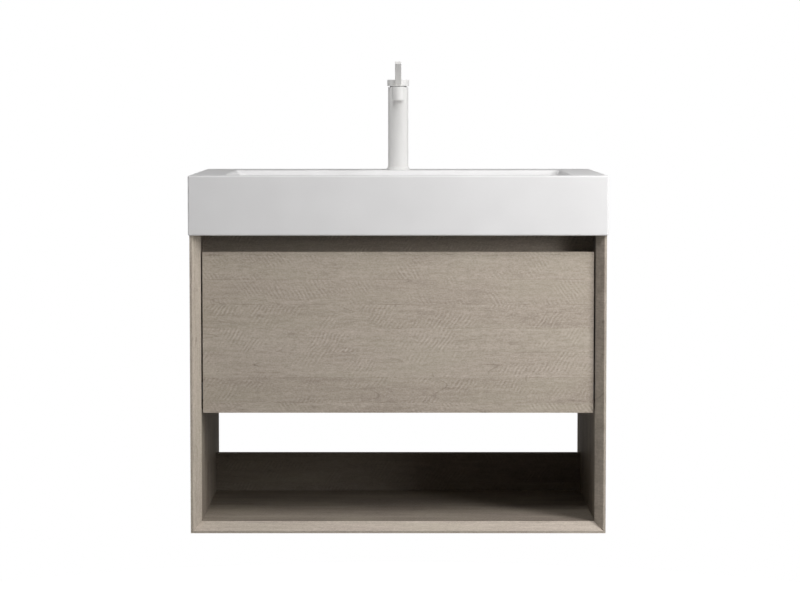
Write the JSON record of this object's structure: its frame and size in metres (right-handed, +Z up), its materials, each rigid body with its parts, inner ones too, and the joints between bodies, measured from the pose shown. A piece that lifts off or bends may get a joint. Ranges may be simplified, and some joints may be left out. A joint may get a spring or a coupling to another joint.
{
  "type": "floating vanity",
  "caption": "Wall-hung bathroom vanity: oak-look carcass with a grip-edge drawer over an open niche, a ceramic basin, a pop-up waste with bottle trap and a lever mixer tap.",
  "frame": {"origin": "centre of the four wall screw holes, on the wall", "axes": "+X to the right as seen from the front, -Y out of the wall to the front, +Z up"},
  "size_m": [0.805, 0.46, 0.9142],
  "materials": {
    "oak": "matt brushed oak-look laminate, grey beige, horizontal planks with saw marks",
    "oak_inner": "matt oak-look laminate, horizontal grain",
    "beech": "raw fluted beech",
    "ceramic": "satin white glaze",
    "white_metal": "matt white powder coat",
    "chrome": "polished chrome plate",
    "zinc": "zinc-plated sheet and die casting",
    "steel": "bright zinc-plated steel",
    "brass": "turned brass",
    "white_plastic": "smooth white polypropylene",
    "grey_plastic": "fine-grained grey nylon",
    "rubber": "matt black rubber"
  },
  "bodies": {
    "cabinet": {"side_panel_left": "oak", "side_panel_right": "oak", "bottom_panel": "oak", "divider_panel": "oak_inner", "finger_rail": "oak_inner", "hanging_rail": "oak_inner", "low_back_rail": "oak_inner", "dowels": "beech", "cam_locks": "zinc", "cam_bolts": "steel", "hangers": "zinc", "hanger_hooks": "steel", "hanger_screws": "steel", "wall_plates": "zinc", "cabinet_rails": "zinc", "rail_screws": "steel", "basin_bowl": "ceramic", "basin_deck": "ceramic", "basin_ledge": "ceramic", "basin_side_walls": "ceramic", "basin_end_walls": "ceramic", "waste_body": "chrome", "waste_nut": "white_plastic", "drain_seals": "rubber", "trap_inlet_pipe": "white_plastic", "trap_head": "white_plastic", "trap_cup": "white_plastic", "trap_nuts": "white_plastic", "trap_outlet_pipe": "white_plastic", "tap_body": "white_metal", "tap_inlets": "brass", "tap_foot": "white_metal", "tap_gasket": "rubber", "tap_spout": "white_metal", "tap_aerator": "white_plastic", "tap_stud": "steel", "tap_clamp_plate": "zinc", "tap_stud_nut": "brass", "cartridge": "grey_plastic", "cartridge_nut": "zinc"},
    "runner_left": {"middle_rail_left": "steel"},
    "runner_right": {"middle_rail_right": "steel"},
    "drawer": {"drawer_rail_left": "zinc", "drawer_rail_right": "zinc", "locking_clips": "grey_plastic", "drawer_front": "oak", "drawer_inner_front": "oak_inner", "drawer_side_left": "oak_inner", "drawer_side_right": "oak_inner", "drawer_bottom": "oak_inner", "drawer_backs": "oak_inner", "recess_side_walls": "oak_inner", "recess_wall_front": "oak_inner", "drawer_screws": "steel"},
    "waste_plug": {"waste_plug": "chrome"},
    "mixer": {"mixer_carrier": "brass"},
    "handle": {"mixer_spindle": "steel", "handle_cap": "white_metal", "lever": "white_metal", "grub_screw": "steel"}
  },
  "joints": [
    {"name": "drawer_slide", "type": "slide", "parent": "cabinet", "child": "drawer", "axis": [0, -1, 0], "range_m": [0, 0.3]},
    {"name": "runner_left_slide", "type": "slide", "parent": "cabinet", "child": "runner_left", "axis": [0, -1, 0], "range_m": [0, 0.15]},
    {"name": "runner_right_slide", "type": "slide", "parent": "cabinet", "child": "runner_right", "axis": [0, -1, 0], "range_m": [0, 0.15]},
    {"name": "plug_lift", "type": "slide", "parent": "cabinet", "child": "waste_plug", "axis": [0, 0, 1], "range_m": [0, 0.008]},
    {"name": "mixer_turn", "type": "hinge", "parent": "cabinet", "child": "mixer", "pos_m": [0, -0.046, 0.3505], "axis": [0, 0, 1], "range_deg": [-45, 45]},
    {"name": "lever_lift", "type": "hinge", "parent": "mixer", "child": "handle", "pos_m": [0, -0.046, 0.3405], "axis": [-1, 0, 0], "range_deg": [0, 20]}
  ],
  "couplings": [
    {"joint": "runner_left_slide", "follows": "drawer_slide", "ratio": 0.5},
    {"joint": "runner_right_slide", "follows": "drawer_slide", "ratio": 0.5}
  ]
}
